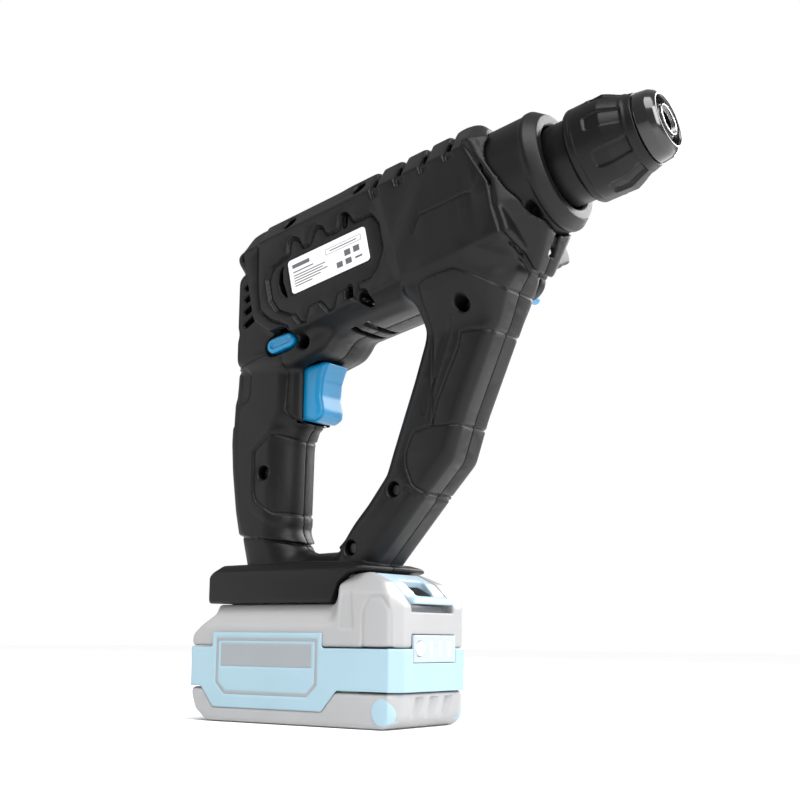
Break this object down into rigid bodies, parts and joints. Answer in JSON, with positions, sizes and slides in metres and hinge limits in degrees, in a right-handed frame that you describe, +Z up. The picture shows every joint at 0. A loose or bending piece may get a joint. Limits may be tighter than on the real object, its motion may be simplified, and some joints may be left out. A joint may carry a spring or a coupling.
{
  "type": "rotary hammer",
  "caption": "Cordless rotary hammer with a D-shaped handle, a quick-change chuck, a wobble-drive hammer mechanism and a slide-on battery.",
  "frame": {"origin": "middle of the battery's flat bottom, in the housing's parting plane", "axes": "+X from the grip towards the chuck, +Y to the tool's left, +Z up; the barrel rises 12.5 degrees towards +X"},
  "size_m": [0.2741, 0.0762, 0.3096],
  "materials": {
    "black_shell": "fine moulded texture, satin",
    "soft_black": "smooth satin rubber",
    "blue_plastic": "semi-gloss moulded",
    "steel": "ground",
    "dark_steel": "blackened",
    "copper": "plain",
    "black_plastic": "satin",
    "red_lead": "satin",
    "plate": "printed plate, no text",
    "lens": "clear polished",
    "battery_grey": "fine moulded texture, satin",
    "battery_blue": "satin",
    "cells": "shrink sleeve",
    "board": "circuit board"
  },
  "bodies": {
    "frame": {"right_housing": "black_shell", "left_housing": "black_shell", "housing_screw_01": "dark_steel", "housing_screw_02": "dark_steel", "housing_screw_03": "dark_steel", "housing_screw_04": "dark_steel", "housing_screw_05": "dark_steel", "housing_screw_06": "dark_steel", "housing_screw_07": "dark_steel", "housing_screw_08": "dark_steel", "housing_screw_09": "dark_steel", "housing_screw_10": "dark_steel", "switch_module": "black_shell", "rating_label": "plate", "work_light": "lens", "motor_can": "dark_steel", "gear_plate": "steel", "spindle_bearing": "steel", "spindle_bush": "copper", "countershaft_bearing": "steel", "nose_collar": "black_shell", "terminal_block": "black_shell", "power_lead_red": "red_lead", "power_lead_black": "black_plastic", "trigger_spring": "steel"},
    "spindle": {"spindle": "steel", "spindle_gear": "steel", "chuck_ring": "soft_black", "dust_cap": "soft_black", "locking_ball_1": "steel", "locking_ball_2": "steel", "chuck_spring": "steel"},
    "sleeve": {"chuck_sleeve": "soft_black"},
    "countershaft": {"countershaft": "steel", "counter_gear": "steel", "output_pinion": "steel"},
    "rotor": {"armature": "copper", "motor_pinion": "steel", "cooling_fan": "black_plastic"},
    "wobble": {"wobble_ring": "dark_steel"},
    "piston": {"piston": "steel"},
    "striker": {"striker": "dark_steel"},
    "bolt": {"impact_bolt": "steel"},
    "trigger": {"trigger": "blue_plastic"},
    "direction": {"direction_button": "blue_plastic"},
    "knob": {"mode_knob": "blue_plastic"},
    "battery": {"battery_lower": "battery_grey", "battery_band": "battery_blue", "battery_upper": "battery_grey", "cell_pack": "cells", "protection_board": "board", "charge_gauge": "battery_grey", "latch_spring": "steel"},
    "latch": {"battery_latch": "battery_blue"},
    "gauge_key": {"gauge_button": "battery_grey"}
  },
  "joints": [
    {"name": "spindle_turn", "type": "hinge", "parent": "frame", "child": "spindle", "pos_m": [0.10537, 0, 0.26926], "axis": [0.9763, 0, 0.2164], "continuous": true},
    {"name": "sleeve_pull", "type": "slide", "parent": "spindle", "child": "sleeve", "axis": [-0.9763, 0, -0.2164], "range_m": [0, 0.009], "stiffness_N_per_m": 1500, "springref_m": -0.008, "deforming": ["chuck_spring"]},
    {"name": "countershaft_turn", "type": "hinge", "parent": "frame", "child": "countershaft", "pos_m": [0.06153, 0, 0.23598], "axis": [0.9763, 0, 0.2164], "continuous": true},
    {"name": "motor_turn", "type": "hinge", "parent": "frame", "child": "rotor", "pos_m": [-0.00582, 0, 0.23948], "axis": [0.9763, 0, 0.2164], "continuous": true},
    {"name": "wobble_swing", "type": "hinge", "parent": "frame", "child": "wobble", "pos_m": [0.05568, 0, 0.23468], "axis": [0, 1, 0], "range_deg": [-13.5, 13.5]},
    {"name": "piston_stroke", "type": "slide", "parent": "frame", "child": "piston", "axis": [0.9763, 0, 0.2164], "range_m": [-0.0054, 0.0054]},
    {"name": "striker_flight", "type": "slide", "parent": "frame", "child": "striker", "axis": [0.9763, 0, 0.2164], "range_m": [0, 0.0035]},
    {"name": "bolt_stroke", "type": "slide", "parent": "frame", "child": "bolt", "axis": [0.9763, 0, 0.2164], "range_m": [0, 0.0024]},
    {"name": "trigger_pull", "type": "slide", "parent": "frame", "child": "trigger", "axis": [-1, 0, 0], "range_m": [0, 0.006], "stiffness_N_per_m": 900, "springref_m": -0.006, "deforming": ["trigger_spring"]},
    {"name": "direction_shift", "type": "slide", "parent": "frame", "child": "direction", "axis": [0, 1, 0], "range_m": [-0.002, 0.002]},
    {"name": "mode_turn", "type": "hinge", "parent": "frame", "child": "knob", "pos_m": [0.10655, 0, 0.23162], "axis": [0, 1, 0], "range_deg": [-90, 90]},
    {"name": "battery_slide", "type": "slide", "parent": "frame", "child": "battery", "axis": [1, 0, 0], "range_m": [0, 0.12]},
    {"name": "latch_press", "type": "slide", "parent": "battery", "child": "latch", "axis": [0, 0, -1], "range_m": [0, 0.003], "stiffness_N_per_m": 3000, "springref_m": -0.002, "deforming": ["latch_spring"]},
    {"name": "gauge_press", "type": "slide", "parent": "battery", "child": "gauge_key", "axis": [-1, 0, 0], "range_m": [0, 0.0005], "stiffness_N_per_m": 4000, "springref_m": -0.0005}
  ],
  "couplings": [
    {"joint": "countershaft_turn", "follows": "motor_turn", "ratio": -0.5},
    {"joint": "spindle_turn", "follows": "motor_turn", "ratio": 0.17647},
    {"joint": "wobble_swing", "follows": "piston_stroke", "rad_per_m": 43.1}
  ]
}
